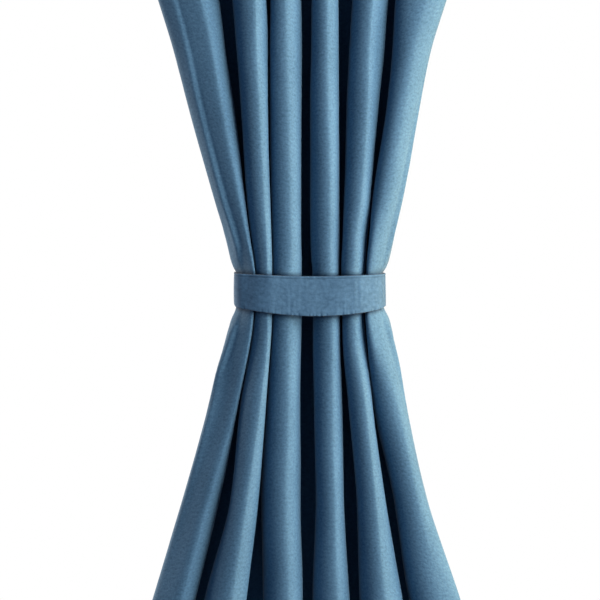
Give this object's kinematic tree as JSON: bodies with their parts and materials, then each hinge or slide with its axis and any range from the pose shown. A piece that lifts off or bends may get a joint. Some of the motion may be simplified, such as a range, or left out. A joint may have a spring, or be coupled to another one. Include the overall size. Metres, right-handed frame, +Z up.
{
  "type": "velvet drape with tieback",
  "caption": "Floor-length velvet drape hanging in deep soft folds, gathered at the waist by a plain shaped tieback band.",
  "frame": {"origin": "middle of the drape's top edge, where it hangs", "axes": "+Z up along the drape, +X to the right as seen from the front, +Y from the front to the back"},
  "size_m": [0.846, 0.1335, 2.1311],
  "materials": {
    "drape_velvet": "short-pile velvet, soft sheen",
    "band_velvet": "the same velvet, pressed flat"
  },
  "bodies": {
    "root": {"drape_panel": "drape_velvet", "tieback_band": "band_velvet"}
  },
  "joints": []
}
